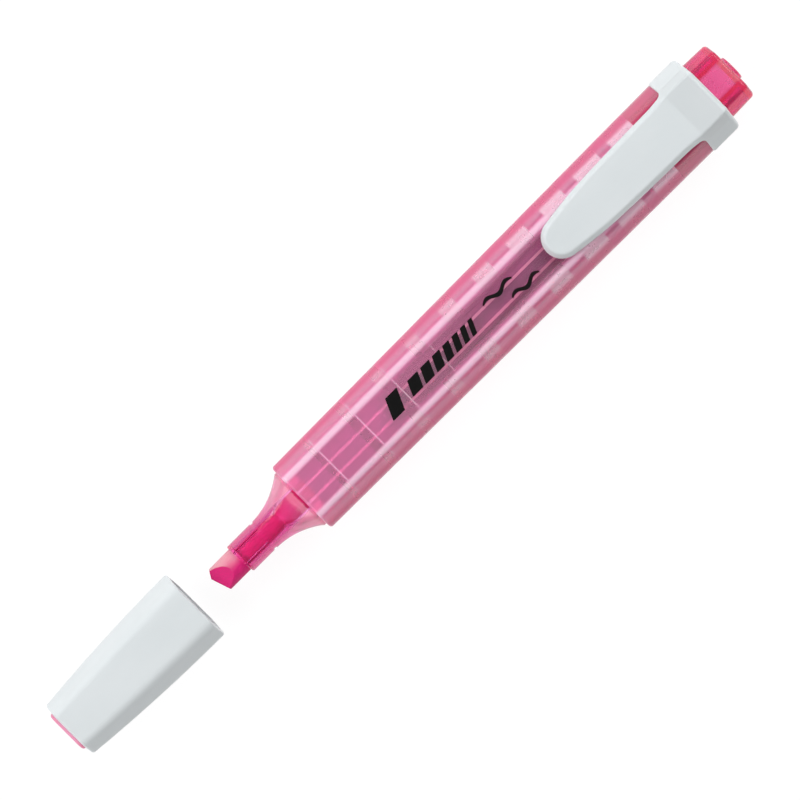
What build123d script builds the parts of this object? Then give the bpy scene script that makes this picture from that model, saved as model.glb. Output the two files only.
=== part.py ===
from build123d import *
import math
import os

# A pocket highlighter, lying on its back with its cap pulled off. All sizes are in millimetres.
# It is drawn in the pen's own frame: X runs from the nib to the rear plug and is 0 at the barrel's
# front rim, where the cap seats, Z points to the clip's side, and both are 0 on the pen's axis.
# Each piece is moved to the row's frame as it is written.

# Cross-section family: a rounded hexagon with two flats joined by sloping sides
side_slope = 62.0

# Barrel
barrel_front_width = 13.5
barrel_front_depth = 10.6
barrel_rear_width = 14.7
barrel_rear_depth = 11.5
barrel_side_round = 4.0
barrel_edge_round = 1.5
barrel_wall = 1.2
barrel_shoulder_x = 85.9
barrel_rim_fillet = 0.5
neck_width = 13.36
neck_depth = 10.26
neck_end_x = 91.3
neck_side_round = 3.4
neck_edge_round = 1.0
neck_bore_width = 11.9
neck_bore_depth = 8.8
neck_bore_side_round = 3.2
neck_bore_edge_round = 1.1
rib_width = 0.35
rib_offsets = (-1.45, 0.9)
rib_root_z = 4.8
rib_front_x = 2.3

# The clear window panel: a shallow recess in the barrel's clip side, with its front corners cut off
window_front_x = 18.6
window_rear_x = 84.0
window_width = 5.8
window_corner = 1.0
window_recess = 0.06

# Nose: tube, flare and spigot
tube_diameter = 5.76
tube_front_x = -13.85
tube_mouth_slant = 4.0
tube_chamfer = 0.15
flare_start_x = -8.5
flare_end_x = -0.4
flare_radius = 13.1
nose_base_width = 11.46
nose_base_depth = 8.56
nose_base_side_round = 3.1
nose_base_edge_round = 1.2
spigot_end_x = 1.8
spigot_pocket_x = 2.0
nose_wall = 1.0
nose_cavity_x = -5.0
slot_width = 0.32
slot_depth = 0.3
slot_angles = (28, 152, 208, 332)
groove_x = -8.3
groove_width = 0.55
groove_depth = 0.18
cavity_side_round = 2.2
cavity_edge_round = 0.8

# Nib
nib_diameter = 4.8
nib_tip_x = -19.4
nib_shoulder_x = -13.4
nib_shank_diameter = 3.3
nib_shank_end_x = -2.8
nib_edge_angle = 18.5
nib_edge_thickness = 1.0
nib_bevel_angle = 28.0
nib_corner_angle = 32.0
nib_lead_y = 1.0
nib_clearance = 0.03
fit_gap = 0.02

# Ink reservoir
reservoir_diameter = 8.0
film_thickness = 0.13
reservoir_front_x = 2.1
reservoir_rear_x = 79.2
core_inset = 0.3
core_nose_diameter = 3.9
core_nose_x = -5.1
core_nose_fillet = 1.2
shank_end_gap = 0.1
reservoir_gap = 0.06

# End plug
plug_front_x = 79.5
plug_step_x = 91.75
plug_end_x = 96.9
plug_skirt_width = 11.86
plug_skirt_depth = 8.76
plug_front_width = 11.5
plug_front_depth = 8.5
plug_rear_width = 11.2
plug_rear_depth = 8.2
plug_wall = 0.9
plug_end_wall = 1.1
plug_side_round = 3.2
plug_edge_round = 1.1
plug_web_offset = 2.58
plug_web_thickness = 0.6
plug_web_front_x = 86.5
plug_rear_fillet = 0.65
boss_diameter = 4.4
boss_height = 0.6
boss_fillet = 0.2
plug_overlap = 0.3

# Clip: ring and tongue
ring_width = 15.04
ring_rear_x = 91.8
ring_top = 7.6
ring_back = -5.9
ring_middle = 0.9
ring_side_round = 2.5
ring_edge_round = 0.6
ring_rear_fillet = 0.8
tongue_thickness = 1.3
tongue_tip_x = 55.3
tongue_tip_radius = 3.45
tongue_waist_half_width = 4.24
tongue_middle_half_width = 4.55
tongue_straight_half_width = 4.65
tongue_root_half_width = 5.02
tongue_flare_length = 4.0
tongue_taper = 28.0
tongue_gap = 0.12
bead_x = 58.6
bead_width = 5.0
bead_length = 1.6
bead_height = 0.5

# Cap
cap_mouth_x = -24.0
cap_end_x = -52.45
cap_mouth_width = 13.44
cap_mouth_depth = 10.55
cap_profile_radius = 300.0
cap_side_round = 4.0
cap_edge_round = 2.2
cap_wall = 0.94
cap_end_wall = 1.3
cap_mouth_fillet = 0.35
cap_end_fillet = 0.5
cap_stations = 4

# Cap liner: the inner seal cup and the pad that shows at the cap's closed end
pad_width = 7.7
pad_depth = 5.6
pad_round = 1.6
pad_stand_out = 0.6
pad_fillet = 0.45
liner_mouth_x = -33.0
liner_floor_x = -44.2
liner_outer_diameter = 7.0
liner_bore_diameter = 5.9
liner_core_diameter = 3.4
liner_stem_width = 6.2
liner_stem_depth = 5.0
liner_floor_wall = 0.3
liner_core_overlap = 0.1

# How far a cutting shape reaches past what it cuts, and how large the cutting blocks are
overshoot = 1.0
cutter_length = 20.0
cutter_width = 14.0

# The row's frame: its origin is the middle of the bottom of the whole object's box
frame_x = (cap_end_x - pad_stand_out + plug_end_x + boss_height) / 2
frame_z = ring_back

slope = math.radians(side_slope)
side_bulge = 1 / math.sin(slope) - 1


def across(x):
    """The plane across the pen at x: its own x is the pen's Y, and its own y is the pen's Z."""
    return Plane(origin=(x, 0, 0), x_dir=(0, 1, 0), z_dir=(1, 0, 0))


def hexagon(x, width, top, bottom, side_round, edge_round, middle=0.0):
    """A rounded hexagon across the pen at x, as wide as width over its rounded sides."""
    half = width / 2 + side_round * side_bulge
    top_flat = half - (top - middle) / math.tan(slope)
    bottom_flat = half - (middle - bottom) / math.tan(slope)
    face = Polygon(
        (half, middle),
        (top_flat, top),
        (-top_flat, top),
        (-half, middle),
        (-bottom_flat, bottom),
        (bottom_flat, bottom),
        align=None,
    )
    face = fillet(face.vertices().filter_by(lambda v: abs(v.Y - middle) < 1e-6), side_round)
    flats = face.vertices().filter_by(lambda v: min(abs(v.Y - top), abs(v.Y - bottom)) < 1e-6)
    face = fillet(flats, edge_round)
    return across(x) * face


def even_hexagon(x, width, depth, side_round, edge_round):
    """A hexagon section centred on the pen's axis."""
    return hexagon(x, width, depth / 2, -depth / 2, side_round, edge_round)


def rod(x_from, x_to, radius):
    """A round rod on the pen's axis."""
    return extrude(across(x_from) * Circle(radius), amount=x_to - x_from)


def bar(x_from, x_to, section):
    """A straight bar of one cross-section, drawn at x_from."""
    return extrude(section, amount=x_to - x_from, dir=(1, 0, 0))


def block(x_from, x_to, y_middle, y_size, z_from, z_to):
    """A box given by its span along the pen, its middle and width across, and its span in depth."""
    centre = ((x_from + x_to) / 2, y_middle, (z_from + z_to) / 2)
    return Pos(*centre) * Box(x_to - x_from, y_size, z_to - z_from)


def end_edges(piece, last):
    """The outer edges of a piece's first or last face along the pen."""
    return piece.faces().sort_by(Axis.X)[-1 if last else 0].outer_wire().edges()


def make_barrel():
    """The body: a tapering shell with a necked rear, ledged front bore and inner ribs."""
    front = even_hexagon(0, barrel_front_width, barrel_front_depth, barrel_side_round, barrel_edge_round)
    rear = even_hexagon(
        barrel_shoulder_x, barrel_rear_width, barrel_rear_depth, barrel_side_round, barrel_edge_round
    )
    body = loft([front, rear])
    body = fillet(end_edges(body, False), barrel_rim_fillet)
    neck = neck_section(barrel_shoulder_x - overshoot)
    body += bar(barrel_shoulder_x - overshoot, neck_end_x, neck)

    inner_sides = barrel_side_round - barrel_wall
    inner_edges = barrel_edge_round - barrel_wall
    cavity_front = even_hexagon(
        spigot_pocket_x,
        barrel_front_width - 2 * barrel_wall,
        barrel_front_depth - 2 * barrel_wall,
        inner_sides,
        inner_edges,
    )
    cavity_rear = even_hexagon(
        barrel_shoulder_x - overshoot,
        barrel_rear_width - 2 * barrel_wall,
        barrel_rear_depth - 2 * barrel_wall,
        inner_sides,
        inner_edges,
    )
    body -= loft([cavity_front, cavity_rear])
    body -= bar(-overshoot, spigot_pocket_x, nose_base_section(-overshoot, fit_gap))
    bore_from = barrel_shoulder_x - 2 * overshoot
    body -= bar(bore_from, neck_end_x + overshoot, neck_bore_section(bore_from))

    reservoir_radius = reservoir_diameter / 2 + reservoir_gap
    for offset in rib_offsets:
        rib_tip_z = math.sqrt(reservoir_radius**2 - (abs(offset) - rib_width / 2) ** 2)
        rib = block(rib_front_x, reservoir_rear_x, offset, rib_width, rib_tip_z, rib_root_z)
        body += rib
        body += mirror(rib, about=Plane.XY)
    return body - make_window_cut()


def make_window_cut():
    """What the window panel's recess removes: a thin slab that follows the barrel's taper."""
    length = window_rear_x - window_front_x
    half = window_width / 2
    outline = Polygon(
        (window_corner, -half),
        (length, -half),
        (length, half),
        (window_corner, half),
        (0, half - window_corner),
        (0, window_corner - half),
        align=None,
    )
    rise = (barrel_rear_depth - barrel_front_depth) / 2 / barrel_shoulder_x
    floor_z = barrel_front_depth / 2 + rise * window_front_x - window_recess
    tilt = Rot(0, -math.degrees(math.atan(rise)), 0)
    return Pos(window_front_x, 0, floor_z) * tilt * extrude(outline, amount=overshoot)


def neck_section(x, clearance=0.0):
    """The outline of the barrel's rear neck at x, grown all round by a clearance."""
    return even_hexagon(
        x, neck_width + 2 * clearance, neck_depth + 2 * clearance, neck_side_round, neck_edge_round
    )


def neck_bore_section(x):
    """The outline of the bore that takes the end plug, at x."""
    return even_hexagon(x, neck_bore_width, neck_bore_depth, neck_bore_side_round, neck_bore_edge_round)


def nose_base_section(x, clearance=0.0):
    """The nose's base outline at x, grown all round by a clearance."""
    return even_hexagon(
        x,
        nose_base_width + 2 * clearance,
        nose_base_depth + 2 * clearance,
        nose_base_side_round + clearance,
        nose_base_edge_round + clearance,
    )


def flare_section(x):
    """The nose's outline in the flare, whose width follows one arc that leaves the tube tangentially."""
    run = x - flare_start_x
    full_run = flare_end_x - flare_start_x
    rise = flare_radius - math.sqrt(flare_radius**2 - run**2)
    full_rise = flare_radius - math.sqrt(flare_radius**2 - full_run**2)
    share = rise / full_rise
    round_tube = 0.49 * tube_diameter

    def between(tube, base):
        return tube + (base - tube) * share

    return even_hexagon(
        x,
        between(tube_diameter, nose_base_width),
        between(tube_diameter, nose_base_depth),
        between(round_tube, nose_base_side_round),
        between(round_tube, nose_base_edge_round),
    )


def make_nose():
    """The nose: a nib tube that flares out to a spigot inside the barrel's front."""
    radius = tube_diameter / 2
    tube = rod(tube_front_x - overshoot, flare_start_x, radius)
    ahead = Pos(-cutter_length / 2, 0, 0) * Box(cutter_length, cutter_width, cutter_width)
    tube -= Pos(tube_front_x, 0, 0) * Rot(0, 0, tube_mouth_slant) * ahead
    tube = chamfer(end_edges(tube, False), tube_chamfer)
    flare_stations = 6
    step = (flare_end_x - flare_start_x) / (flare_stations - 1)
    flare = loft([flare_section(flare_start_x + step * i) for i in range(flare_stations)])
    nose = tube + flare + bar(flare_end_x, spigot_end_x, nose_base_section(flare_end_x))

    nose -= rod(tube_front_x - overshoot, nib_shoulder_x, nib_diameter / 2 + nib_clearance)
    shank_radius = nib_shank_diameter / 2 + nib_clearance
    nose -= rod(nib_shoulder_x - overshoot, spigot_end_x, shank_radius)
    cavity_width = nose_base_width - 2 * nose_wall
    cavity_depth = nose_base_depth - 2 * nose_wall
    cavity_base = even_hexagon(
        flare_end_x, cavity_width, cavity_depth, cavity_side_round, cavity_edge_round
    )
    small = 2 * shank_radius
    cavity_tip = even_hexagon(nose_cavity_x, small, small, 0.49 * small, 0.49 * small)
    nose -= loft([cavity_tip, cavity_base])
    nose -= bar(flare_end_x, spigot_end_x + overshoot, cavity_base)

    slot_from = tube_front_x - overshoot
    slot = block(slot_from, flare_start_x, 0, slot_width, radius - slot_depth, radius + overshoot)
    for angle in slot_angles:
        nose -= Rot(angle, 0, 0) * slot
    groove = rod(groove_x - groove_width, groove_x, radius + overshoot)
    groove -= rod(groove_x - groove_width, groove_x, radius - groove_depth)
    nose -= groove
    return nose


def make_nib():
    """The felt nib: a chisel head on a slimmer shank that reaches into the reservoir."""
    nib = rod(nib_tip_x, nib_shoulder_x, nib_diameter / 2)
    nib += rod(nib_shoulder_x, nib_shank_end_x, nib_shank_diameter / 2)
    # the two bevels of the chisel meet the writing edge half its thickness from the axis
    above = Pos(0, 0, nib_diameter / 2) * Box(cutter_length, cutter_width, nib_diameter)
    wedge = Pos(nib_tip_x, 0, nib_edge_thickness / 2) * Rot(0, -nib_bevel_angle, 0) * above
    nib -= wedge
    nib -= mirror(wedge, about=Plane.XY)
    # the writing edge slants back from its leading corner, and the corner beside it is cut off
    lead = Pos(nib_tip_x, nib_lead_y, 0)
    ahead = Pos(-cutter_length / 2, 0, 0) * Box(cutter_length, cutter_length, cutter_width)
    nib -= lead * Rot(0, 0, nib_edge_angle) * ahead
    nib -= lead * Rot(0, 0, -nib_corner_angle) * ahead
    return nib


def make_reservoir_core():
    """The fibre bundle that holds the ink, with a rounded nose that takes the nib's shank."""
    radius = reservoir_diameter / 2 - film_thickness - fit_gap
    core = rod(reservoir_front_x + core_inset, reservoir_rear_x - core_inset, radius)
    front = rod(core_nose_x, reservoir_front_x + core_inset, core_nose_diameter / 2)
    core += fillet(end_edges(front, False), core_nose_fillet)
    pocket_end_x = nib_shank_end_x + shank_end_gap
    core -= rod(core_nose_x - overshoot, pocket_end_x, nib_shank_diameter / 2 + nib_clearance)
    return core


def make_reservoir_film():
    """The plastic film wrapped round the fibre bundle."""
    film = rod(reservoir_front_x, reservoir_rear_x, reservoir_diameter / 2)
    film -= rod(reservoir_front_x, reservoir_rear_x, reservoir_diameter / 2 - film_thickness)
    return film


def plug_section(x, width, depth, inset=0.0):
    """The plug's outline at x, shrunk all round by an inset."""
    return even_hexagon(
        x, width - 2 * inset, depth - 2 * inset, plug_side_round - inset, plug_edge_round - inset
    )


def make_end_plug():
    """The rear plug: a hollow skirt in the barrel and a tapering visible end with a small boss."""
    visible = loft([
        plug_section(plug_step_x, plug_front_width, plug_front_depth),
        plug_section(plug_end_x, plug_rear_width, plug_rear_depth),
    ])
    visible = fillet(end_edges(visible, True), plug_rear_fillet)
    skirt = plug_section(plug_front_x, plug_skirt_width, plug_skirt_depth)
    hollow = plug_section(plug_front_x, plug_rear_width, plug_rear_depth, plug_wall)
    hollow_end_x = plug_end_x - plug_end_wall
    plug = visible + bar(plug_front_x, plug_step_x, skirt)
    plug -= bar(plug_front_x, hollow_end_x, hollow)
    inner_end_x = hollow_end_x + plug_overlap
    web_top = (plug_rear_depth - plug_wall) / 2
    for side in (-1, 1):
        web_y = side * plug_web_offset
        plug += block(plug_web_front_x, inner_end_x, web_y, plug_web_thickness, -web_top, web_top)
    boss = rod(inner_end_x, plug_end_x + boss_height, boss_diameter / 2)
    boss = fillet(end_edges(boss, True), boss_fillet)
    return plug + boss


def make_clip_ring():
    """The clip's collar: a deep hexagonal ring round the barrel's neck, flat on its back."""
    outline = hexagon(
        barrel_shoulder_x, ring_width, ring_top, ring_back, ring_side_round, ring_edge_round, ring_middle
    )
    ring = bar(barrel_shoulder_x, ring_rear_x, outline)
    ring = fillet(end_edges(ring, True), ring_rear_fillet)
    bore = neck_section(barrel_shoulder_x - overshoot, fit_gap)
    ring -= bar(barrel_shoulder_x - overshoot, neck_end_x + fit_gap, bore)
    ring -= bar(neck_end_x, ring_rear_x + overshoot, neck_bore_section(neck_end_x))
    return ring


def make_clip_tongue():
    """The clip's tongue: a plate with sloping edges, a round tip and a bead under the tip."""
    underside = ring_top - tongue_thickness
    root_x = barrel_shoulder_x - tongue_gap
    tip_centre_x = tongue_tip_x + tongue_tip_radius
    tip = (tongue_tip_x, 0)
    shoulder = (tip_centre_x, -tongue_tip_radius)
    waist = (tip_centre_x + 7, -tongue_waist_half_width)
    middle = (tip_centre_x + 16, -tongue_middle_half_width)
    flare_start = (root_x - tongue_flare_length, -tongue_straight_half_width)
    root = (root_x, -tongue_root_half_width)
    tip_arc = RadiusArc(tip, shoulder, -tongue_tip_radius)
    side = Spline(shoulder, waist, middle, flare_start, tangents=[(1, -0.13), (1, -0.01)])
    flare = TangentArc(flare_start, root, tangent=(1, -0.01))
    half = tip_arc + side + flare + Line(root, (root_x, 0)) + Line((root_x, 0), tip)
    profile = make_face(half.edges())
    profile += mirror(profile, about=Plane.XZ)
    plate = extrude(Pos(0, 0, underside) * profile, amount=tongue_thickness, taper=tongue_taper)
    bead = Pos(bead_x, 0, underside) * Rot(90, 0, 0) * Cylinder(bead_length / 2, bead_width)
    bead_top = underside + tongue_thickness / 3
    bead_ends = (bead_x - bead_length, bead_x + bead_length)
    bead &= block(*bead_ends, 0, bead_width, underside - bead_height, bead_top)
    return plate + bead


def cap_half_width(x):
    """Half the cap's width at x: widest at the mouth, and drawn in along one long arc."""
    run = cap_mouth_x - x
    return cap_mouth_width / 2 - cap_profile_radius + math.sqrt(cap_profile_radius**2 - run**2)


def cap_section(x, inset=0.0):
    """The cap's outline at x, shrunk all round by an inset."""
    share = 2 * cap_half_width(x) / cap_mouth_width
    return even_hexagon(
        x,
        cap_mouth_width * share - 2 * inset,
        cap_mouth_depth * share - 2 * inset,
        cap_side_round * share - inset,
        cap_edge_round * share - inset,
    )


def cap_loft(x_from, x_to, inset=0.0):
    """A solid that follows the cap's outline from x_from to x_to."""
    step = (x_to - x_from) / (cap_stations - 1)
    return loft([cap_section(x_from + step * i, inset) for i in range(cap_stations)])


def pad_section(x, clearance=0.0):
    """The pad's outline in the cap's closed end."""
    pad = RectangleRounded(pad_width + 2 * clearance, pad_depth + 2 * clearance, pad_round + clearance)
    return across(x) * pad


def make_cap_shell():
    """The cap's outer shell, open at its mouth and holed at its closed end for the liner's pad."""
    shell = cap_loft(cap_end_x, cap_mouth_x)
    shell = fillet(end_edges(shell, False), cap_end_fillet)
    shell = fillet(end_edges(shell, True), cap_mouth_fillet)
    shell -= cap_loft(cap_end_x + cap_end_wall, cap_mouth_x, cap_wall)
    hole_from = cap_end_x - overshoot
    shell -= bar(hole_from, cap_end_x + cap_end_wall + overshoot, pad_section(hole_from, fit_gap))
    return shell


def make_cap_liner():
    """The inner seal cup: it closes round the nose's tube, and its stem ends in the pad."""
    pad_rear_x = cap_end_x + cap_end_wall
    pad = bar(cap_end_x - pad_stand_out, pad_rear_x, pad_section(cap_end_x - pad_stand_out))
    pad = fillet(end_edges(pad, False), pad_fillet)
    stem_end = across(pad_rear_x) * Ellipse(liner_stem_width / 2, liner_stem_depth / 2)
    cup_end = across(liner_floor_x) * Circle(liner_outer_diameter / 2)
    stem = loft([stem_end, cup_end])
    cup = rod(liner_floor_x, liner_mouth_x, liner_outer_diameter / 2)
    liner = pad + stem + cup
    liner -= rod(liner_floor_x, liner_mouth_x, liner_bore_diameter / 2)
    core_from = pad_rear_x + liner_floor_wall
    liner -= rod(core_from, liner_floor_x + liner_core_overlap, liner_core_diameter / 2)
    return liner


def write(name, piece):
    """Moves a piece to the row's frame and writes it."""
    export_step(Pos(-frame_x, 0, -frame_z) * piece, f"parts/{name}.step")


os.makedirs("parts", exist_ok=True)
write("barrel", make_barrel())
write("nose", make_nose())
write("nib", make_nib())
write("reservoir_core", make_reservoir_core())
write("reservoir_film", make_reservoir_film())
write("end_plug", make_end_plug())
write("clip_ring", make_clip_ring())
write("clip_tongue", make_clip_tongue())
write("cap_shell", make_cap_shell())
write("cap_liner", make_cap_liner())
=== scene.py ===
import math

import bmesh
import bpy
from mathutils import Matrix, Vector, noise


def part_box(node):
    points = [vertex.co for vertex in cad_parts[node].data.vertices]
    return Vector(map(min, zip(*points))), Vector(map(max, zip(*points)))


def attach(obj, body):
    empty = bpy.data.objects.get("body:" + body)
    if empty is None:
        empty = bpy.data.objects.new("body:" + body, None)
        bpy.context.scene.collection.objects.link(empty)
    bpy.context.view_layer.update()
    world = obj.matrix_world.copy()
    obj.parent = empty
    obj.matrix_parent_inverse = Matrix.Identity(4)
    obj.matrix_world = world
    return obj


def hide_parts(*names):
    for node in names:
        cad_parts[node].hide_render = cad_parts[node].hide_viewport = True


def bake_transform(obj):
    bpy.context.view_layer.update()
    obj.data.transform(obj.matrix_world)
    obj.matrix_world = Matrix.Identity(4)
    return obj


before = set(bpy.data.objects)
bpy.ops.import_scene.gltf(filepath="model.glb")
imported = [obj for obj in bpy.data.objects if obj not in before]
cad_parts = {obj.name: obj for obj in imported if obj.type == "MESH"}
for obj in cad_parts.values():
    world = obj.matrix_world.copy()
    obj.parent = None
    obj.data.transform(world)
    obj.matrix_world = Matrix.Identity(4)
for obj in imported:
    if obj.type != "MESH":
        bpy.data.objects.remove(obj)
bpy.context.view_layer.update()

# ---------------------------------------------------------------------------------------------
# The pen's own frame, in millimetres: x is 0 at the barrel's front rim and runs to the rear plug,
# y runs across the pen, and z is 0 on its axis and runs up to the clip.
# ---------------------------------------------------------------------------------------------
MM = 0.001
film_low, film_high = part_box("reservoir_film")
rim_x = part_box("barrel")[0].x
axis_z = (film_low.z + film_high.z) / 2


def at(x, y, z):
    """A point given in the pen's own frame, as a place in the row's frame."""
    return Vector((rim_x + x * MM, y * MM, axis_z + z * MM))


def pen_x(place):
    return (place.x - rim_x) / MM


def pen_z(place):
    return (place.z - axis_z) / MM


# ---------------------------------------------------------------------------------------------
# Mesh tools
# ---------------------------------------------------------------------------------------------
def new_piece(name, bm, body, material):
    """Makes an object from a bmesh builder, and hangs it on its body, if it has only one."""
    mesh = bpy.data.meshes.new(name)
    bmesh.ops.recalc_face_normals(bm, faces=bm.faces)
    bm.to_mesh(mesh)
    bm.free()
    piece = bpy.data.objects.new(name, mesh)
    bpy.context.scene.collection.objects.link(piece)
    mesh.materials.append(material)
    if body:
        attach(piece, body)
    return piece


def shade(piece, angle=30):
    """Smooth shading, with creases where faces meet at more than the angle."""
    piece.data.shade_smooth()
    piece.data.set_sharp_from_angle(angle=math.radians(angle))


def rounded_outline(corners, radii, steps, hold=0.06):
    """The points of a closed outline whose corners are arcs of the given radii.

    A point on each side of an arc, hold away from it, keeps the flats beside it evenly shaded.
    """
    points = []
    count = len(corners)
    for i, corner in enumerate(corners):
        here = Vector(corner)
        back = (Vector(corners[i - 1]) - here).normalized()
        on = (Vector(corners[(i + 1) % count]) - here).normalized()
        half_angle = back.angle(on) / 2
        centre = here + (back + on).normalized() * (radii[i] / math.sin(half_angle))
        reach = radii[i] / math.tan(half_angle)
        first = here + back * reach - centre
        sweep = first.angle_signed(here + on * reach - centre)
        points.append(here + back * (reach + hold))
        for k in range(steps + 1):
            turn = Matrix.Rotation(-sweep * k / steps, 2)
            points.append(centre + turn @ first)
        points.append(here + on * (reach + hold))
    return points


SIDE_SLOPE = math.radians(62)


def hexagon(width, top, bottom, side_round, edge_round, middle=0.0, inset=0.0, steps=8):
    """A rounded hexagon: two flats joined by sloping sides, as (y, z) points in millimetres."""
    width, top, bottom = width - 2 * inset, top - inset, bottom + inset
    side_round, edge_round = max(side_round - inset, 0.05), max(edge_round - inset, 0.05)
    half = width / 2 + side_round * (1 / math.sin(SIDE_SLOPE) - 1)
    top_flat = half - (top - middle) / math.tan(SIDE_SLOPE)
    bottom_flat = half - (middle - bottom) / math.tan(SIDE_SLOPE)
    corners = [
        (half, middle), (top_flat, top), (-top_flat, top),
        (-half, middle), (-bottom_flat, bottom), (bottom_flat, bottom),
    ]
    radii = [side_round, edge_round, edge_round, side_round, edge_round, edge_round]
    return rounded_outline(corners, radii, steps)


def skin(bm, rings, closed=False):
    """Joins rings of points, all with the same count, by quads, and returns the rings of vertices."""
    made = [[bm.verts.new(p) for p in ring] for ring in rings]
    pairs = list(zip(made, made[1:])) + ([(made[-1], made[0])] if closed else [])
    for one, two in pairs:
        for i in range(len(one)):
            j = (i + 1) % len(one)
            bm.faces.new((one[i], one[j], two[j], two[i]))
    return made


# ---------------------------------------------------------------------------------------------
# Materials
# ---------------------------------------------------------------------------------------------
class Shader:
    """A material being made: its Principled shader, and short calls that add nodes before it."""

    def __init__(self, name, **sockets):
        self.material = bpy.data.materials.new(name)
        self.material.use_nodes = True
        self.tree = self.material.node_tree
        self.tree.nodes.clear()
        self.output = self.tree.nodes.new("ShaderNodeOutputMaterial")
        self.main = self.tree.nodes.new("ShaderNodeBsdfPrincipled")
        self.link(self.main.outputs["BSDF"], self.output.inputs["Surface"])
        for socket, value in sockets.items():
            self.set(socket.replace("_", " "), value)
        self.place = self.tree.nodes.new("ShaderNodeTexCoord").outputs["Object"]

    def link(self, source, target):
        self.tree.links.new(source, target)

    def set(self, socket, value):
        """Sets one of the Principled shader's sockets, to a value or to a node's output."""
        if isinstance(value, bpy.types.NodeSocket):
            self.link(value, self.main.inputs[socket])
        else:
            self.main.inputs[socket].default_value = value

    def node(self, kind, inputs=(), **settings):
        made = self.tree.nodes.new(kind)
        for key, value in settings.items():
            setattr(made, key, value)
        for index, value in dict(inputs).items():
            if isinstance(value, bpy.types.NodeSocket):
                self.link(value, made.inputs[index])
            else:
                made.inputs[index].default_value = value
        return made

    def math(self, operation, one, two=0.0, three=0.0, clamp=False):
        return self.node(
            "ShaderNodeMath", {0: one, 1: two, 2: three}, operation=operation, use_clamp=clamp
        ).outputs[0]

    def axis(self, name):
        """The x, y or z of the place on the object, in metres."""
        return self.node("ShaderNodeSeparateXYZ", {0: self.place}).outputs[name]

    def along(self):
        """How far behind the barrel's front rim the place is, in millimetres."""
        return self.math("DIVIDE", self.math("SUBTRACT", self.axis("X"), rim_x), MM)

    def across(self):
        """How far to the side of the pen's axis the place is, in millimetres."""
        return self.math("DIVIDE", self.axis("Y"), MM)

    def height(self):
        """How far above the pen's axis the place is, in millimetres."""
        return self.math("DIVIDE", self.math("SUBTRACT", self.axis("Z"), axis_z), MM)

    def product(self, first, *others):
        for other in others:
            first = self.math("MULTIPLY", first, other)
        return first

    def most(self, first, *others):
        """The largest of the values."""
        for other in others:
            first = self.math("MAXIMUM", first, other)
        return first

    def noise(self, per_mm, detail=2.0, roughness=0.5, stretch=(1, 1, 1)):
        """Noise with the given number of features per millimetre, squeezed along each axis."""
        scaled = self.node(
            "ShaderNodeVectorMath", {0: self.place, 1: tuple(per_mm * 1000 * s for s in stretch)},
            operation="MULTIPLY",
        ).outputs[0]
        return self.node(
            "ShaderNodeTexNoise",
            {"Vector": scaled, "Scale": 1.0, "Detail": detail, "Roughness": roughness},
        ).outputs["Fac"]

    def spread(self, value, low, high, to_low=0.0, to_high=1.0, smooth=False):
        """Maps value from low..high to to_low..to_high, and clamps it."""
        return self.node(
            "ShaderNodeMapRange",
            {"Value": value, "From Min": low, "From Max": high, "To Min": to_low, "To Max": to_high},
            interpolation_type="SMOOTHSTEP" if smooth else "LINEAR",
        ).outputs["Result"]

    def around(self, value, middle, inside, outside, peak=1.0, smooth=False):
        """Is peak where value is within inside of the middle, and falls to 0 at outside."""
        away = self.math("ABSOLUTE", self.math("SUBTRACT", value, middle))
        return self.spread(away, inside, outside, peak, 0.0, smooth)

    def blend(self, share, one, two):
        """A colour between one and two."""
        mix = self.node("ShaderNodeMix", data_type="RGBA")
        for socket, value in (("Factor", share), ("A", one), ("B", two)):
            index = next(
                i for i, s in enumerate(mix.inputs)
                if s.name == socket and (s.type == "RGBA" or (socket == "Factor" and s.type == "VALUE"))
            )
            if isinstance(value, bpy.types.NodeSocket):
                self.link(value, mix.inputs[index])
            else:
                mix.inputs[index].default_value = value
        return next(s for s in mix.outputs if s.type == "RGBA")

    def bump(self, height, depth_mm, strength=1.0):
        """Sends a height between 0 and 1 to the shader's normal, as relief of that depth."""
        relief = self.node(
            "ShaderNodeBump", {"Height": height, "Distance": depth_mm * MM, "Strength": strength}
        )
        self.set("Normal", relief.outputs["Normal"])

    def let_light_in(self, colour):
        """Lets tinted light through to what is inside, so that it isn't in the plastic's full shadow."""
        clear = self.node("ShaderNodeBsdfTransparent", {"Color": (*colour, 1)})
        rays = self.node("ShaderNodeLightPath")
        mix = self.node("ShaderNodeMixShader", {0: rays.outputs["Is Shadow Ray"]})
        self.link(self.main.outputs["BSDF"], mix.inputs[1])
        self.link(clear.outputs[0], mix.inputs[2])
        self.link(mix.outputs[0], self.output.inputs["Surface"])

    def absorb(self, colour, density):
        """Tints what is inside the surface, more where it is thicker. density is per metre."""
        inside = self.node("ShaderNodeVolumeAbsorption", {"Color": (*colour, 1), "Density": density})
        self.link(inside.outputs["Volume"], self.output.inputs["Volume"])


def linear(red, green, blue):
    """A colour given as 0 to 255 screen values, as the shader's linear colour."""
    def one(v):
        v /= 255
        return v / 12.92 if v <= 0.04045 else ((v + 0.055) / 1.055) ** 2.4

    return (one(red), one(green), one(blue), 1.0)


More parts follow.
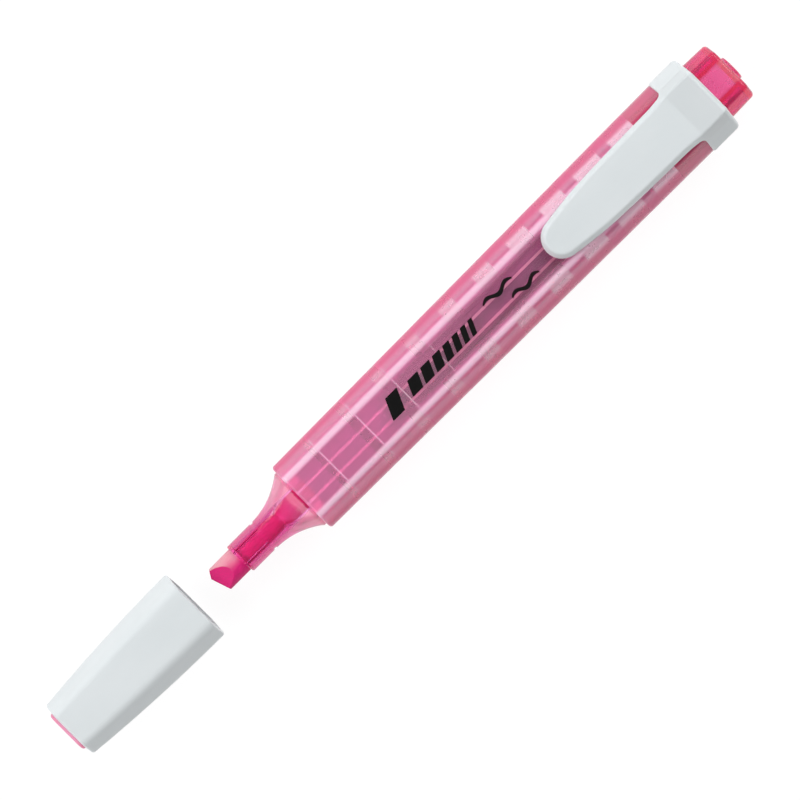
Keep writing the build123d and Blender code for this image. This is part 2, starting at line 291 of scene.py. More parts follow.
def white_plastic(name):
    """Satin white-grey moulded plastic: fine moulding grain, faint flow marks and handling marks."""
    s = Shader(name, IOR=1.47, Subsurface_Weight=0.08, Subsurface_Scale=0.6 * MM)
    s.set("Subsurface Radius", (1.0, 1.0, 1.0))
    flow = s.noise(0.12, 3.0, stretch=(0.35, 1, 1))
    grain = s.noise(9.0, 2.0)
    marks = s.noise(1.1, 5.0, 0.7, stretch=(0.3, 1.6, 1.6))
    s.set("Base Color", s.blend(s.spread(flow, 0.3, 0.7), linear(217, 223, 225), linear(223, 228, 230)))
    worn = s.spread(marks, 0.56, 0.72, 0.0, 0.1)
    s.set("Roughness", s.math("ADD", s.spread(flow, 0.3, 0.7, 0.4, 0.46), worn))
    s.bump(grain, 0.004, 0.5)
    return s.material


# Tinted pieces: how far from the axis their sides begin and are full, and their paler flare
SIDE_START, SIDE_FULL = 1.9, 2.4
FLARE_PINK, FLARE_RUN = (0.98, 0.60, 0.71, 1), 4.0


def tinted_plastic(
    name, base, side_base, tint, density, see_through, roughness, shadow_tint, cloudy=0.0, flare_from=None
):
    """Tinted plastic: its colour deepens with its own thickness, and a little of it is milky.

    Its two sides have side_base as their colour, and cloudy is how much milkier they are. From
    flare_from on, the sides are paler.
    """
    s = Shader(name, IOR=1.45)
    s.set("Specular IOR Level", 0.35)
    beside = s.spread(s.math("ABSOLUTE", s.across()), SIDE_START, SIDE_FULL)
    s.set("Transmission Weight", s.spread(beside, 0.0, 1.0, see_through, see_through - cloudy))
    side = (*side_base, 1)
    if flare_from is not None:
        side = s.blend(s.spread(s.along(), flare_from, flare_from + FLARE_RUN), side, FLARE_PINK)
    waves = s.noise(0.35, 2.0, stretch=(0.3, 1, 1))
    pale = tuple(min(1.0, c * 1.05) for c in base)
    middle = s.blend(s.spread(waves, 0.3, 0.7), (*base, 1), (*pale, 1))
    s.set("Base Color", s.blend(beside, middle, side))
    s.set("Roughness", s.spread(waves, 0.35, 0.65, roughness, roughness * 1.5))
    s.bump(s.noise(3.0, 2.0), 0.0012, 0.4)
    s.absorb(tint, density)
    s.let_light_in(shadow_tint)
    return s.material


# The barrel's frosting: rings at an even pitch, each with a polished band before it that gets
# longer towards the rear. Places are in millimetres, and the rings' widths are shares of the pitch
BAND_FIRST, BAND_PITCH = 7.1, 8.13
BAND_SHORT, BAND_LONG, BAND_REAR = 0.5, 5.8, 73.0
BAND_SOFT, BAND_POLISH = 0.02, 0.35
HOOP_AT, HOOP_HALF, HOOP_EDGE = 0.03, 0.008, 0.016
HOOP_FADE = (20.0, 40.0)
# From here on the barrel holds the plug, and is polished
PLUG_FRONT = 79.4
# The polished window under the clip: its front end, and the long run over which it clears
WINDOW_FRONT, WINDOW_HALF, WINDOW_ABOVE = 18.6, 2.9, 3.5
WINDOW_END, WINDOW_END_SHARE = (-1.0, 3.0), 0.35
WINDOW_RUN, WINDOW_RUN_SHARE = (3.0, 26.0), 0.65
WINDOW_SOFT = (-0.6, 0.3)
# Ribs inside, at these places across the pen, and no further from the axis than this; the milk on them is
# a painted highlight
RIBS, RIB_HALF, RIB_EDGE = (-1.45, 0.9), 0.2, 0.24
RIB_DEPTH = (4.5, 4.6)
# Painted highlights along both long edges, the bands' pale ends beside them, which are partly painted
# light shining through from behind, and the hot pink rims
HIGHLIGHT_LINE_AT, HIGHLIGHT_LINE_HALF, HIGHLIGHT_LINE_EDGE = 3.9, 0.2, 0.85
PALE_AND_BACKLIT_AT, PALE_AND_BACKLIT_HALF, PALE_AND_BACKLIT_EDGE = 5.0, 0.6, 0.8
PALE_AND_BACKLIT_RUN = (15.0, 60.0)
EDGE_START, EDGE_FULL = 4.9, 6.2
# How milky each of these is, where the milk on the ribs and on the long edges is painted highlight, and
# how much clearness the rims and the rear lose
RIB_HIGHLIGHT_MILK, HOOP_MILK, HIGHLIGHT_LINE_MILK = 0.6, 0.35, 0.5
PALE_AND_BACKLIT_MILK = (0.08, 0.4)
EDGE_TINGE, REAR_TINGE, REAR_SHARE, EDGE_LOSS = 0.9, 0.9, 0.6, 0.55
FROSTED_PINK, CLEAR_PINK = (0.98, 0.50, 0.78, 1), (0.99, 0.86, 0.94, 1)
# The milk's pink, which the painted highlights also use, and the rims' hot pink
MILK_AND_HIGHLIGHT_PINK, HOT_PINK = (1.0, 0.93, 0.97, 1), (0.76, 0.06, 0.23, 1)


def barrel_band(s, along):
    """How far through its pitch each place is, and a mask that is 1 on the polished bands."""
    turns = s.math("DIVIDE", s.math("SUBTRACT", along, BAND_FIRST), BAND_PITCH)
    phase = s.math("FRACT", s.math("ADD", turns, 1.0))
    length = s.spread(along, 0.0, BAND_REAR, BAND_SHORT / BAND_PITCH, BAND_LONG / BAND_PITCH)
    start = s.math("SUBTRACT", 1.0, length)
    begun = s.spread(phase, s.math("SUBTRACT", start, BAND_SOFT), s.math("ADD", start, BAND_SOFT))
    ended = s.spread(phase, 1.0 - BAND_SOFT, 1.0, 1.0, 0.0)
    return phase, s.product(begun, ended)


def barrel_window(s, along, aside, height):
    """How polished the window is: little at its front end, and more along its length."""
    end_from, end_to = (WINDOW_FRONT + x for x in WINDOW_END)
    run_from, run_to = (WINDOW_FRONT + x for x in WINDOW_RUN)
    near_end = s.spread(along, end_from, end_to, 0.0, WINDOW_END_SHARE, smooth=True)
    in_length = s.math("ADD", near_end, s.spread(along, run_from, run_to, 0.0, WINDOW_RUN_SHARE))
    narrow, wide = (WINDOW_HALF + y for y in WINDOW_SOFT)
    in_width = s.spread(aside, narrow, wide, 1.0, 0.0, smooth=True)
    return s.product(in_length, in_width, s.math("GREATER_THAN", height, WINDOW_ABOVE))


def barrel_plastic():
    """Frosted pink plastic: clear in its window, with painted highlights as milk on its inner rib lines
    and long edges, deep at its rims.
    """
    s = Shader("barrel_plastic", IOR=1.38, Coat_Weight=0.4, Coat_IOR=1.6, Coat_Roughness=0.2)
    s.set("Specular IOR Level", 0.2)
    along, across, height = s.along(), s.across(), s.height()
    aside = s.math("ABSOLUTE", across)
    phase, band = barrel_band(s, along)
    rear = s.spread(along, PLUG_FRONT - 0.1, PLUG_FRONT + 0.1)
    window = barrel_window(s, along, aside, height)
    polished = s.most(s.product(band, BAND_POLISH), window, rear)

    # Painted highlights: milk along the rib lines inside the barrel
    rib_highlight = s.most(*(s.around(across, y, RIB_HALF, RIB_EDGE) for y in RIBS))
    rib_highlight = s.product(rib_highlight, s.spread(s.math("ABSOLUTE", height), *RIB_DEPTH, 1.0, 0.0))
    hoop = s.around(phase, HOOP_AT, HOOP_HALF, HOOP_EDGE)
    hoop = s.product(hoop, s.spread(along, *HOOP_FADE, 1.0, 0.0))
    # Painted highlight: a milky line along both long edges
    highlight_line = s.around(aside, HIGHLIGHT_LINE_AT, HIGHLIGHT_LINE_HALF, HIGHLIGHT_LINE_EDGE, HIGHLIGHT_LINE_MILK, smooth=True)
    # The bands' pale ends beside the long edges: milky, and partly painted light shining through the
    # sides from behind
    beside = s.around(aside, PALE_AND_BACKLIT_AT, PALE_AND_BACKLIT_HALF, PALE_AND_BACKLIT_EDGE)
    pale = s.product(band, beside, s.spread(along, *PALE_AND_BACKLIT_RUN, *PALE_AND_BACKLIT_MILK))
    # The hoops' milk together with the painted highlights and the bands' partly painted pale ends
    milky = s.most(s.product(rib_highlight, RIB_HIGHLIGHT_MILK), s.product(hoop, HOOP_MILK), s.most(highlight_line, pale))
    milky = s.product(milky, s.math("SUBTRACT", 1.0, rear))

    edge = s.spread(aside, EDGE_START, EDGE_FULL, 0.0, EDGE_TINGE, smooth=True)
    clearness = s.spread(polished, 0.0, 1.0, 0.76, 0.95)
    lost = s.product(s.most(edge, s.product(rear, REAR_SHARE)), EDGE_LOSS)
    clearness = s.math("SUBTRACT", clearness, lost)
    s.set("Transmission Weight", s.math("SUBTRACT", clearness, milky, clamp=True))
    tinged = s.blend(milky, s.blend(polished, FROSTED_PINK, CLEAR_PINK), MILK_AND_HIGHLIGHT_PINK)
    tinged = s.blend(s.most(edge, s.product(rear, REAR_TINGE)), tinged, HOT_PINK)
    s.set("Base Color", tinged)

    grain = s.noise(6.0, 2.0)
    uneven = s.noise(0.4, 3.0)
    frosted = s.spread(uneven, 0.3, 0.7, 0.32, 0.40)
    clear = s.spread(uneven, 0.3, 0.7, 0.10, 0.16)
    s.set("Roughness", s.math("MULTIPLY_ADD", s.math("SUBTRACT", clear, frosted), polished, frosted))
    s.bump(s.product(grain, s.spread(polished, 0.0, 0.3, 1.0, 0.0)), 0.0015, 0.5)
    s.absorb((0.875, 0.25, 0.5), 400.0)
    s.let_light_in((0.8, 0.7, 0.76))
    return s.material


def film_plastic():
    """The wrap round the ink reservoir: a shiny mauve film with fine lengthwise streaks."""
    s = Shader("reservoir_film", Metallic=0.5, IOR=1.4)
    streaks = s.noise(1.2, 4.0, 0.6, stretch=(0.03, 1, 1))
    dark, light = linear(142, 90, 138), linear(166, 110, 160)
    s.set("Base Color", s.blend(s.spread(streaks, 0.3, 0.7), dark, light))
    s.set("Roughness", s.spread(streaks, 0.3, 0.7, 0.26, 0.36))
    s.bump(streaks, 0.008, 0.4)
    return s.material


# A painted highlight: felt is paler on its outer skin, at these radii, and more so towards its +Y side
PAINTED_HIGHLIGHT_SKIN, PAINTED_HIGHLIGHT_SIDE = (2.24, 2.32), (-0.9, 2.3)


def felt(name, skin, wet, pale):
    """Pressed fibre: lengthwise strands, soaked with ink, and a painted highlight, paler on its outer
    skin towards +Y.
    """
    s = Shader(name, Sheen_Weight=0.08, Sheen_Roughness=0.4, IOR=1.4)
    strands = s.noise(6.0, 4.0, 0.65, stretch=(0.2, 1, 1))
    blotches = s.noise(0.6, 2.0)
    across, height = s.across(), s.height()
    radius = s.math("SQRT", s.math("ADD", s.product(across, across), s.product(height, height)))
    uneven = s.math("MULTIPLY_ADD", s.math("SUBTRACT", blotches, 0.5), 1.2, across)
    # Painted highlight: paler on the outer skin, more towards +Y, with a blotchy edge; pale is its colour
    painted_highlight = s.product(s.spread(radius, *PAINTED_HIGHLIGHT_SKIN), s.spread(uneven, *PAINTED_HIGHLIGHT_SIDE, smooth=True))
    damp = s.blend(s.spread(strands, 0.3, 0.7), (*wet, 1), (*skin, 1))
    s.set("Base Color", s.blend(s.math("MULTIPLY", painted_highlight, 0.85), damp, (*pale, 1)))
    s.set("Roughness", s.spread(strands, 0.3, 0.7, 0.55, 0.85))
    s.bump(strands, 0.03, 0.6)
    return s.material


def print_ink():
    """Black pad-printed ink, a little thin in places."""
    s = Shader("print_ink", IOR=1.3)
    thin = s.noise(4.0, 3.0, 0.6)
    s.set("Base Color", s.blend(s.spread(thin, 0.55, 0.8), linear(1, 1, 1), linear(10, 6, 9)))
    s.set("Roughness", s.spread(thin, 0.3, 0.7, 0.45, 0.6))
    s.bump(thin, 0.004, 0.5)
    return s.material


# ---------------------------------------------------------------------------------------------
# Clip: the collar and the tongue as the one moulding they really are
# ---------------------------------------------------------------------------------------------
RING_FRONT, RING_REAR = 85.9, 91.8
RING_ROUND, RING_REAR_ROUND = 0.3, 0.8
NECK_REAR = 91.32
TONGUE_TIP, TONGUE_RADIUS, TONGUE_END = 55.3, 3.45, 90.9
TONGUE_LOW, TONGUE_TOP, TONGUE_ROUND = 6.3, 7.604, 0.5
TIP_TURN = math.radians(82.6)
TONGUE_SIDE = (
    # place along the pen, half width and its slope there
    (65.75, 4.24, 0.065), (74.75, 4.55, 0.022), (81.9, 4.66, 0.012),
    (85.4, 4.94, 0.13), (85.9, 4.99, 0.02), (TONGUE_END, 4.99, 0.0),
)
LIP_START, LIP_DEPTH, LIP_WIDTH = 84.9, 1.1, 0.45
UNDER_EDGE, SIDE_STEP = 0.15, 0.4
HOLD = 0.08
TIP_STEPS, SIDE_STEPS, TOP_STEPS, ACROSS = 14, 8, 5, 8
# The crown: how far the top drops at its edges, over which length, height and half width
CROWN, CROWN_END, CROWN_RUN = 0.08, RING_FRONT - 1, 6
CROWN_LOW, CROWN_RISE, CROWN_HALF = TONGUE_LOW + 0.6, 0.7, 4.6
BEAD_X, BEAD_Z, BEAD_RADIUS, BEAD_FLATTENED = 58.6, 6.62, 0.82, 0.98
BEAD_HALF, BEAD_FULL_HALF, BEAD_TAPER = 2.5, 1.9, 0.62
# The collar's sections: width, top, bottom, the rounds of its sides and of its edges, and for its
# skin the height of its widest line
COLLAR_MOUTH, COLLAR_LIP = (12.2, 4.55, -4.55, 3.3, 1.2), (11.9, 4.4, -4.4, 3.2, 1.1)
COLLAR_BORE = (13.4, 5.15, -5.15, 3.4, 1.0)
COLLAR_SKIN = (15.04, 7.6, -5.9, 2.5, 0.6, 0.9)
MOUTH_CHAMFER = 0.15


def curve_between(one, two, steps):
    """Points on the smooth curve between two (place, value, slope) stations, without the first."""
    run = two[0] - one[0]
    points = []
    for i in range(1, steps + 1):
        t = i / steps
        value = (
            one[1] * (2 * t**3 - 3 * t**2 + 1) + run * one[2] * (t**3 - 2 * t**2 + t)
            + two[1] * (3 * t**2 - 2 * t**3) + run * two[2] * (t**3 - t**2)
        )
        points.append((one[0] + run * t, value))
    return points


def tongue_side():
    """One side of the tongue's outline from above, from its tip to its end inside the collar."""
    centre = TONGUE_TIP + TONGUE_RADIUS
    points = []
    for i in range(TIP_STEPS + 1):
        turn = TIP_TURN * i / TIP_STEPS
        points.append((centre - TONGUE_RADIUS * math.cos(turn), TONGUE_RADIUS * math.sin(turn)))
    last = (*points[-1], 1 / math.tan(TIP_TURN))
    for station in TONGUE_SIDE:
        points += curve_between(last, station, SIDE_STEPS)
        last = station
    return points


def lip_drop(x):
    """How far the root's side lips reach down, growing along an arc to the collar."""
    t = min(max((x - LIP_START) / (RING_FRONT - LIP_START), 0.0), 1.0)
    return LIP_DEPTH * (1 - math.sqrt(1 - t * t))


def tongue_profile(x):
    """The tongue's edge at x, from under to over: (offset outward, height) pairs."""
    slant = math.tan(SIDE_SLOPE)
    drop = lip_drop(x)
    low, out, edge = TONGUE_LOW - drop, drop / slant, UNDER_EDGE
    inner = [(-LIP_WIDTH - 0.1, TONGUE_LOW), (out - LIP_WIDTH, low), (out - edge, low)]
    outer = [(out - edge * 0.4, low + edge * 0.25), (out - edge / slant, low + edge)]
    tangent = TONGUE_ROUND * math.tan(SIDE_SLOPE / 2)
    centre = (-(TONGUE_TOP - TONGUE_LOW) / slant - tangent, TONGUE_TOP - TONGUE_ROUND)
    first = math.pi / 2 - SIDE_SLOPE
    arc = []
    for i in range(TOP_STEPS + 1):
        turn = first + (math.pi / 2 - first) * i / TOP_STEPS
        reach, rise = TONGUE_ROUND * math.cos(turn), TONGUE_ROUND * math.sin(turn)
        arc.append((centre[0] + reach, centre[1] + rise))
    below = (arc[0][0] + HOLD / slant, arc[0][1] - HOLD)
    beyond = (arc[-1][0] - HOLD, arc[-1][1])
    return inner + outer + [(-SIDE_STEP / slant, TONGUE_LOW + SIDE_STEP), below] + arc + [beyond]


def crowned(x, y, z):
    """Lowers the tongue's long edges a little, so that its top is crowned up to the collar."""
    share = min(max((CROWN_END - x) / CROWN_RUN, 0.0), 1.0)
    share *= min(max((z - CROWN_LOW) / CROWN_RISE, 0.0), 1.0)
    return z - CROWN * share * (y / CROWN_HALF) ** 2


def outward_normals(outline):
    """The direction square to an outline at each of its points."""
    normals = []
    for i in range(len(outline)):
        before, after = outline[max(i - 1, 0)], outline[min(i + 1, len(outline) - 1)]
        direction = Vector((after[0] - before[0], after[1] - before[1])).normalized()
        normals.append(Vector((-direction.y, direction.x)))
    return normals


def fill_tongue(bm, rim, crown):
    """Fills the space inside one rim of the tongue from its tip, and returns its last row."""
    middle = len(rim) // 2
    rows = [[rim[middle]]]
    for i in range(1, middle + 1):
        left, right = rim[middle - i], rim[middle + i]
        row = [left]
        for k in range(1, ACROSS):
            place = left.co.lerp(right.co, k / ACROSS)
            x, y, z = pen_x(place), place.y / MM, pen_z(place)
            row.append(bm.verts.new(at(x, y, crowned(x, y, TONGUE_TOP) if crown else z)))
        rows.append(row + [right])
    for k in range(ACROSS):
        bm.faces.new((rows[0][0], rows[1][k], rows[1][k + 1]))
    for one, two in zip(rows[1:], rows[2:]):
        for k in range(ACROSS):
            bm.faces.new((one[k], one[k + 1], two[k + 1], two[k]))
    return rows[-1]


def add_tongue(bm):
    """The tongue: its edge profile carried round its outline, filled in below, above and behind."""
    side = tongue_side()
    outline = [(x, -y) for x, y in reversed(side[1:])] + side
    columns = []
    for (x, y), normal in zip(outline, outward_normals(outline)):
        column = []
        for offset, z in tongue_profile(x):
            px, py = x + normal.x * offset, y + normal.y * offset
            column.append(bm.verts.new(at(px, py, crowned(px, py, z))))
        columns.append(column)
    for one, two in zip(columns, columns[1:]):
        for i in range(len(one) - 1):
            bm.faces.new((one[i], one[i + 1], two[i + 1], two[i]))
    under = fill_tongue(bm, [column[0] for column in columns], crown=False)
    over = fill_tongue(bm, [column[-1] for column in columns], crown=True)
    bm.faces.new(columns[0][:-1] + over + columns[-1][-2::-1] + under[-2:0:-1])


def add_bead(bm):
    """The grip bead under the tongue's tip: a low ridge with rounded ends."""
    around, along = 20, 16
    rings = []
    for i in range(along + 1):
        turn = math.pi * i / along
        y = -BEAD_HALF * math.cos(turn)
        beyond = max(abs(y) - BEAD_FULL_HALF, 0) / BEAD_TAPER
        size = BEAD_RADIUS * min(1.0, math.sqrt(max(1 - beyond**2, 0.02)))
        ring = []
        for k in range(around):
            angle = 2 * math.pi * k / around
            z = BEAD_Z + size * math.sin(angle) * BEAD_FLATTENED
            ring.append(at(BEAD_X + size * math.cos(angle), y, z))
        rings.append(ring)
    made = skin(bm, rings)
    bm.faces.new(made[0])
    bm.faces.new(made[-1])


def add_collar(bm):
    """The clip's ring: its outer skin, rounded front and rear, and its bore over the barrel's neck."""
    stations = []
    for turn in quarter(4):
        inset = RING_ROUND * (1 - math.sin(turn))
        stations.append((RING_FRONT + RING_ROUND * (1 - math.cos(turn)), inset))
    stations.append((RING_FRONT + RING_ROUND + HOLD, 0))
    stations.append((RING_REAR - RING_REAR_ROUND - HOLD, 0))
    for turn in quarter(8):
        inset = RING_REAR_ROUND * (1 - math.cos(turn))
        stations.append((RING_REAR - RING_REAR_ROUND * (1 - math.sin(turn)), inset))
    rings = [(x, hexagon(*COLLAR_SKIN, inset)) for x, inset in stations]
    rings.append((RING_REAR, hexagon(*COLLAR_MOUTH)))
    rings.append((RING_REAR - MOUTH_CHAMFER, hexagon(*COLLAR_LIP)))
    rings.append((NECK_REAR, hexagon(*COLLAR_LIP)))
    rings.append((NECK_REAR, hexagon(*COLLAR_BORE)))
    rings.append((RING_FRONT, hexagon(*COLLAR_BORE)))
    skin(bm, [[at(x, y, z) for y, z in outline] for x, outline in rings], closed=True)


def quarter(steps):
    """The angles that divide a quarter turn into this many steps."""
    return [math.pi / 2 * i / steps for i in range(steps + 1)]


def make_clip(material):
    bm = bmesh.new()
    add_collar(bm)
    add_tongue(bm)
    add_bead(bm)
    clip = new_piece("clip", bm, None, material)
    shade(clip, 25)
    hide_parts("clip_ring", "clip_tongue")
    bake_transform(clip)
    return clip


# ---------------------------------------------------------------------------------------------
# Nib: pressed fibre, cut to a chisel, with softened edges and strands in relief
# ---------------------------------------------------------------------------------------------
NIB_TIP, NIB_SHOULDER, SHANK_END = -19.4, -13.4, -2.8
NIB_RADIUS, SHANK_RADIUS = 2.4, 1.65
NIB_VOXEL = 0.07
# The chisel: the writing edge's half thickness, where it turns its corner, and its cuts' angles
EDGE_HALF, CORNER_Y = 0.5, 1.0
BEVEL_ANGLE, EDGE_ANGLE, CORNER_ANGLE = math.radians(28), math.radians(18.5), math.radians(32)
STRAND_RELIEF, PIT_RELIEF, CUT_RELIEF = 0.028, 0.014, 0.45


def add_rod(bm, x_from, x_to, radius, segments=96):
    turned = Matrix.Translation(((x_from + x_to) / 2, 0, 0)) @ Matrix.Rotation(math.pi / 2, 4, "Y")
    length = x_to - x_from
    bmesh.ops.create_cone(
        bm, cap_ends=True, segments=segments, radius1=radius, radius2=radius, depth=length, matrix=turned
    )


def cut(bm, place, outward):
    """Cuts off what lies beyond a plane, and closes the cut."""
    everything = list(bm.verts) + list(bm.edges) + list(bm.faces)
    bmesh.ops.bisect_plane(bm, geom=everything, plane_co=place, plane_no=outward, clear_outer=True)
    bmesh.ops.holes_fill(bm, edges=[e for e in bm.edges if e.is_boundary])


def remeshed(mesh, voxel):
    """The mesh, remade from even voxels."""
    maker = bpy.data.objects.new("remesh", mesh)
    bpy.context.scene.collection.objects.link(maker)
    modifier = maker.modifiers.new("remesh", "REMESH")
    modifier.mode = "VOXEL"
    modifier.voxel_size = voxel
    bpy.context.view_layer.update()
    made = bpy.data.meshes.new_from_object(maker.evaluated_get(bpy.context.evaluated_depsgraph_get()))
    bpy.data.objects.remove(maker)
    bpy.data.meshes.remove(mesh)
    return made


def make_nib(material):
    bm = bmesh.new()
    add_rod(bm, NIB_TIP, NIB_SHOULDER, NIB_RADIUS)
    for side in (1, -1):
        outward = (-math.sin(BEVEL_ANGLE), 0, side * math.cos(BEVEL_ANGLE))
        cut(bm, (NIB_TIP, 0, side * EDGE_HALF), outward)
    cut(bm, (NIB_TIP, CORNER_Y, 0), (-math.cos(EDGE_ANGLE), -math.sin(EDGE_ANGLE), 0))
    cut(bm, (NIB_TIP, CORNER_Y, 0), (-math.cos(CORNER_ANGLE), math.sin(CORNER_ANGLE), 0))
    add_rod(bm, NIB_SHOULDER - 0.5, SHANK_END, SHANK_RADIUS, 64)
    mesh = bpy.data.meshes.new("nib_shape")
    bm.to_mesh(mesh)
    bm.free()
    mesh = remeshed(mesh, NIB_VOXEL)
    bm = bmesh.new()
    bm.from_mesh(mesh)
    bpy.data.meshes.remove(mesh)
    for _ in range(3):
        bmesh.ops.smooth_vert(
            bm, verts=bm.verts, factor=0.5, use_axis_x=True, use_axis_y=True, use_axis_z=True
        )
    bm.normal_update()
    moves = []
    for v in bm.verts:
        x, y, z = v.co
        share = 1.0 if math.hypot(y, z) > NIB_RADIUS - 0.1 else CUT_RELIEF
        strands = noise.noise(Vector((x * 0.5, y * 5.0, z * 5.0)))
        pits = noise.noise(Vector((x * 4.0, y * 4.0, z * 4.0)) + Vector((31, 17, 5)))
        moves.append(v.normal * (STRAND_RELIEF * share * (strands - 0.6) + PIT_RELIEF * (pits - 0.5)))
    for v, move in zip(bm.verts, moves):
        v.co += move
    for v in bm.verts:
        v.co = at(*v.co)
    nib = new_piece("felt_nib", bm, "pen", material)
    nib.data.shade_smooth()
    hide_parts("nib")
    return nib


# ---------------------------------------------------------------------------------------------
# Reservoir wrap: a thin film drawn tight round the fibre, with creases and a lapped seam
# ---------------------------------------------------------------------------------------------
WRAP_FRONT, WRAP_REAR = 2.1, 79.2
WRAP_RADIUS, WRAP_INNER = 4.0, 3.88
SEAM_ANGLE, SEAM_WIDTH, SEAM_HEIGHT = math.radians(205), 0.05, 0.02
CREASE_DEPTH, FINE_DEPTH, FILM_INSET = 0.016, 0.006, 0.012
CRIMP_DEPTH, CRIMP_RUN = 0.03, 0.8


def make_wrap(material):
    around, along = 144, 230
    rings = []
    for i in range(along + 1):
        t = i / along
        x = WRAP_FRONT + (WRAP_REAR - WRAP_FRONT) * t
        crimp = math.exp(-(x - WRAP_FRONT) / CRIMP_RUN) + math.exp(-(WRAP_REAR - x) / CRIMP_RUN)
        ring = []
        for k in range(around):
            angle = 2 * math.pi * k / around
            c, s = math.cos(angle), math.sin(angle)
            creases = noise.noise(Vector((x * 0.12, c * 5.0, s * 5.0)))
            fine = noise.noise(Vector((x * 0.5 + 40, c * 11.0, s * 11.0)))
            lap = math.exp(-(((angle - SEAM_ANGLE) / SEAM_WIDTH) ** 2))
            radius = WRAP_RADIUS - FILM_INSET - CREASE_DEPTH * (1 + creases) - FINE_DEPTH * (1 + fine)
            radius += SEAM_HEIGHT * lap
            radius -= CRIMP_DEPTH * crimp
            ring.append(at(x, radius * c, radius * s))
        rings.append(ring)
    for x in (WRAP_REAR, WRAP_FRONT):
        angles = [2 * math.pi * k / around for k in range(around)]
        rings.append([at(x, WRAP_INNER * math.cos(a), WRAP_INNER * math.sin(a)) for a in angles])
    bm = bmesh.new()
    skin(bm, rings, closed=True)
    wrap = new_piece("reservoir_wrap", bm, "pen", material)
    shade(wrap, 50)
    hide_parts("reservoir_film")
    return wrap


# ---------------------------------------------------------------------------------------------
# Printed marks on the window: generic slanted blocks and two waved strokes, with no lettering
# ---------------------------------------------------------------------------------------------
PRINT_THICKNESS, PRINT_SLANT, PRINT_CORNER = 0.02, 0.45, 0.12
BARREL_FRONT_HEIGHT, BARREL_REAR_HEIGHT, WINDOW_SUNK = 10.6, 11.5, 0.06


def window_floor(x):
    """The height of the window's floor, which follows the barrel's taper."""
    rise = (BARREL_REAR_HEIGHT - BARREL_FRONT_HEIGHT) / 2 / RING_FRONT * x
    return BARREL_FRONT_HEIGHT / 2 + rise - WINDOW_SUNK


def add_plate(bm, outline):
    """A thin plate of ink with this outline, lying on the window."""
    low = [bm.verts.new(at(x, y, window_floor(x) + 0.001)) for x, y in outline]
    high = [bm.verts.new(at(x, y, window_floor(x) + PRINT_THICKNESS)) for x, y in outline]
    bm.faces.new(low)
    bm.faces.new(high)
    for i in range(len(low)):
        j = (i + 1) % len(low)
        bm.faces.new((low[i], low[j], high[j], high[i]))


def slanted_block(x, width, half):
    lean = PRINT_SLANT * half
    corners = [(x - lean, -half), (x + width - lean, -half), (x + width + lean, half), (x + lean, half)]
    return [tuple(p) for p in rounded_outline(corners, [PRINT_CORNER] * 4, 4)]


def waved_stroke(x_from, x_to, y, height, thickness):
    """A ribbon that waves along the pen, thin at its ends."""
    over, under = [], []
    steps = 48
    for i in range(steps + 1):
        t = i / steps
        x = x_from + (x_to - x_from) * t
        middle = y + height * math.sin(t * 3 * math.pi)
        half = thickness / 2 * (0.35 + 0.65 * math.sqrt(math.sin(math.pi * min(max(t, 0.02), 0.98))))
        over.append((x, middle + half))
        under.append((x, middle - half))
    return under + over[::-1]


def make_print(material):
    """One large block, seven that get narrower, and two waved strokes, along the pen."""
    bm = bmesh.new()
    add_plate(bm, slanted_block(19.9, width=2.6, half=1.75))
    x, width, gap, narrowing = 24.6, 2.3, 0.62, 0.86
    for _ in range(7):
        add_plate(bm, slanted_block(x, width, half=1.25))
        x += width + gap
        width *= narrowing
    for x_from, x_to, y in ((42.2, 48.6, 1.15), (46.4, 52.4, -1.25)):
        add_plate(bm, waved_stroke(x_from, x_to, y, height=0.4, thickness=0.75))
    marks = new_piece("printed_marks", bm, "pen", material)
    shade(marks, 30)
    return marks


# ---------------------------------------------------------------------------------------------
# The pieces and their materials
# ---------------------------------------------------------------------------------------------
def dress(node, material):
    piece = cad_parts[node]
    for i in range(len(piece.material_slots)):
        piece.material_slots[i].material = material


PLUG_PINK = dict(
    base=(0.98, 0.62, 0.80), side_base=(0.94, 0.20, 0.50), tint=(0.97, 0.02, 0.68),
    density=1150.0, see_through=0.82, roughness=0.2, shadow_tint=(0.85, 0.6, 0.75),
)
LINER_PINK = dict(
    base=(0.96, 0.46, 0.68), side_base=(0.96, 0.42, 0.62), tint=(0.95, 0.05, 0.5),
    density=500.0, see_through=0.3, roughness=0.3, shadow_tint=(1.0, 0.85, 0.92),
)
NOSE_PINK = dict(
    base=(0.93, 0.60, 0.92), side_base=(0.86, 0.22, 0.36), tint=(0.90, 0.08, 0.62),
    density=420.0, see_through=0.98, roughness=0.12, shadow_tint=(0.78, 0.45, 0.72),
    cloudy=0.3, flare_from=-8.0,
)
# pale is the colour of the felt's painted highlight
INKED = dict(skin=(0.82, 0.012, 0.20), wet=(0.66, 0.008, 0.165), pale=(0.80, 0.41, 0.46))
dress("barrel", barrel_plastic())
dress("nose", tinted_plastic("nose_plastic", **NOSE_PINK))
dress("end_plug", tinted_plastic("plug_plastic", **PLUG_PINK))
dress("cap_liner", tinted_plastic("liner_plastic", **LINER_PINK))
dress("cap_shell", white_plastic("cap_plastic"))
dress("reservoir_core", felt("reservoir_fibre", **INKED))
make_clip(white_plastic("clip_plastic"))
make_nib(felt("nib_felt", **INKED))
make_wrap(film_plastic())
make_print(print_ink())


# ---------------------------------------------------------------------------------------------
# Stage: a plain white floor, soft light, and a long lens looking straight down at the clip's side
# ---------------------------------------------------------------------------------------------
FLOOR_HALF, FLOOR_DROP, FLOOR_GLOW = 3.0, 0.0002, 0.92


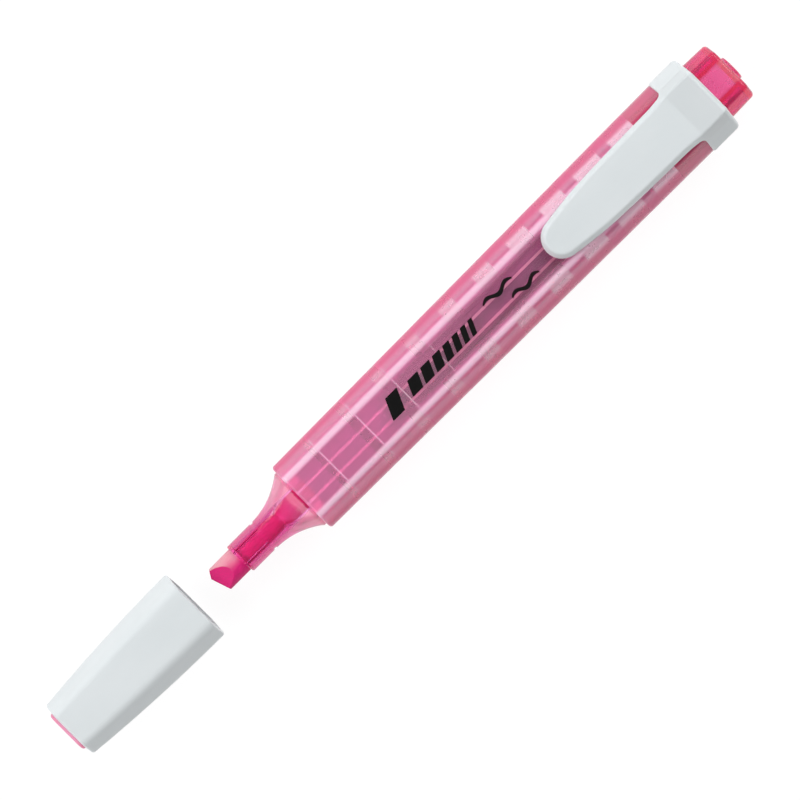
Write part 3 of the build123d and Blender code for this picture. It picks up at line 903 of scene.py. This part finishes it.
def make_floor():
    """A matt floor that glows a little, just under the pen."""
    bm = bmesh.new()
    signs = ((-1, -1), (1, -1), (1, 1), (-1, 1))
    bm.faces.new([bm.verts.new((x * FLOOR_HALF, y * FLOOR_HALF, -FLOOR_DROP)) for x, y in signs])
    mesh = bpy.data.meshes.new("floor")
    bm.to_mesh(mesh)
    bm.free()
    floor = bpy.data.objects.new("floor", mesh)
    bpy.context.scene.collection.objects.link(floor)
    s = Shader("floor_white", Roughness=0.9)
    s.set("Base Color", s.blend(s.noise(0.002, 2.0), (0.10, 0.10, 0.10, 1), (0.12, 0.12, 0.12, 1)))
    s.set("Emission Color", (1, 1, 1, 1))
    s.set("Emission Strength", FLOOR_GLOW)
    mesh.materials.append(s.material)


def soft_light(name, toward, distance, width, height, brightness):
    """A soft box in the given direction from the pen. brightness is what it gives the floor."""
    direction = Vector(toward).normalized()
    data = bpy.data.lights.new(name, "AREA")
    data.shape = "RECTANGLE"
    data.size = width
    data.size_y = height
    data.energy = brightness * math.pi**2 * distance**2 / direction.z
    lamp = bpy.data.objects.new(name, data)
    bpy.context.scene.collection.objects.link(lamp)
    lamp.location = direction * distance
    lamp.rotation_euler = direction.to_track_quat("Z", "Y").to_euler()


def make_world(overhead, horizon):
    """A dim, even studio, a little brighter overhead than at the horizon."""
    world = bpy.data.worlds.new("studio")
    world.use_nodes = True
    tree = world.node_tree
    background = tree.nodes["Background"]
    background.inputs["Color"].default_value = (1, 1, 1, 1)
    place = tree.nodes.new("ShaderNodeTexCoord")
    split = tree.nodes.new("ShaderNodeSeparateXYZ")
    ramp = tree.nodes.new("ShaderNodeMapRange")
    full_height = 0.4
    tree.links.new(place.outputs["Generated"], split.inputs[0])
    tree.links.new(split.outputs["Z"], ramp.inputs["Value"])
    ramp.inputs["From Min"].default_value = 0.0
    ramp.inputs["From Max"].default_value = full_height
    ramp.inputs["To Min"].default_value = horizon
    ramp.inputs["To Max"].default_value = overhead
    tree.links.new(ramp.outputs["Result"], background.inputs["Strength"])
    bpy.context.scene.world = world


def make_camera():
    """Straight above the pen, turned so that the pen runs from lower left to upper right."""
    lens, sensor, span = 300.0, 36.0, 128 * MM
    data = bpy.data.cameras.new("camera")
    data.lens = lens
    data.sensor_width = sensor
    data.clip_start = 0.01
    camera = bpy.data.objects.new("camera", data)
    bpy.context.scene.collection.objects.link(camera)
    centre = at(22.24, -0.08, 0)
    camera.location = centre + Vector((0, 0, span * lens / sensor))
    camera.rotation_euler = (0, 0, -math.pi / 4)
    bpy.context.scene.camera = camera


make_floor()
make_world(overhead=0.1, horizon=0.08)
for name, lean in (("front_key", -1.05), ("rear_key", 1.05)):
    soft_light(name, (lean, 0.34, 1.0), distance=0.85, width=1.2, height=0.4, brightness=0.56)
soft_light("side", (0.0, 1.3, 1.0), distance=0.6, width=0.7, height=0.1, brightness=0.085)
make_camera()
bpy.context.scene.view_settings.view_transform = "Standard"
